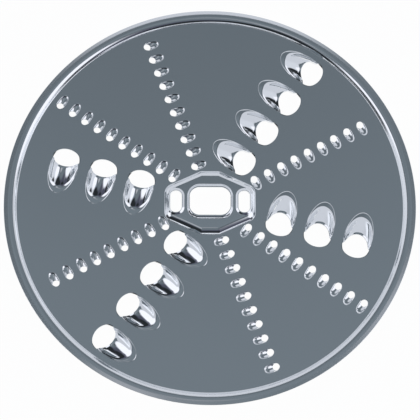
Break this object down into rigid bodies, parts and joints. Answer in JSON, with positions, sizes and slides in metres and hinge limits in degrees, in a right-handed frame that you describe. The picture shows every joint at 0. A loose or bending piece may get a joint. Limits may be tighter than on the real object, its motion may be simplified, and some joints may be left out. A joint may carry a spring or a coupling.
{
  "type": "reversible shredding disc",
  "caption": "Flat round shredding disc of stamped stainless sheet with coarse hooded teeth on one face, fine teeth on the other, a stepped-up rim and a raised boss with a rectangular drive hole.",
  "frame": {"origin": "on the spin axis at the middle of the drive hole, in the plane of the flat top face", "axes": "+Z out of the face with the coarse hoods, +X along the long side of the drive hole, +Y across it"},
  "size_m": [0.123, 0.123, 0.0045],
  "materials": {
    "stainless_sheet": "bright rolled stainless sheet, polished by the stamping tools on the raised teeth"
  },
  "bodies": {
    "root": {"shredding_disc": "stainless_sheet"}
  },
  "joints": []
}
